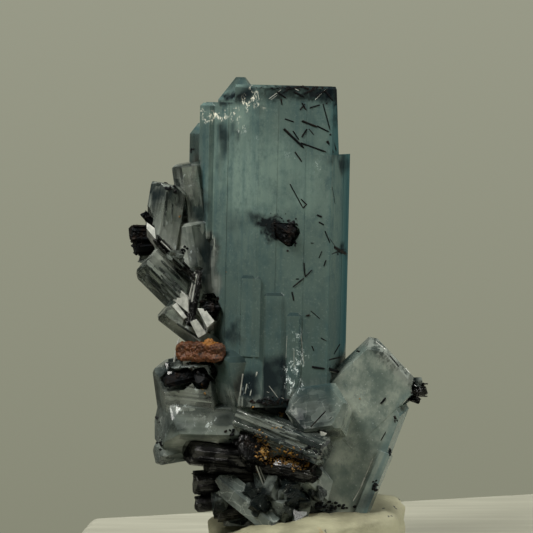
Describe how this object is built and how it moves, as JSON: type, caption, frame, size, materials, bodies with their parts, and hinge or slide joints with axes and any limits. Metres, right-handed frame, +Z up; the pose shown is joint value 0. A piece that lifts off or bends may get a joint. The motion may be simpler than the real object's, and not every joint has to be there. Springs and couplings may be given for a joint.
{
  "type": "aquamarine with schorl",
  "caption": "Mineral specimen: a stepped, cloudy blue-grey aquamarine prism with smaller crystals round its foot and black schorl set in them, standing in a wad of putty.",
  "frame": {"origin": "middle of the putty's flat underside", "axes": "+Z up along the main crystal, +X to the right of the display side, +Y away from it"},
  "size_m": [0.0298, 0.0189, 0.0471],
  "materials": {
    "aquamarine": "clear to cloudy crystal with sharp glassy faces",
    "schorl": "opaque black, glassy, striated along its length",
    "rust": "dull, granular iron-oxide crust",
    "putty": "matt, kneaded, slightly soiled"
  },
  "bodies": {
    "root": {"aquamarine": "aquamarine", "schorl_base_bunch": "schorl", "schorl_left_knob": "schorl", "schorl_left_rods": "schorl", "schorl_side_stub": "schorl", "schorl_face_prism": "schorl", "schorl_on_block": "schorl", "schorl_right_corner": "schorl", "schorl_back_bunch": "schorl", "rusty_grain": "rust", "putty": "putty"}
  },
  "joints": []
}
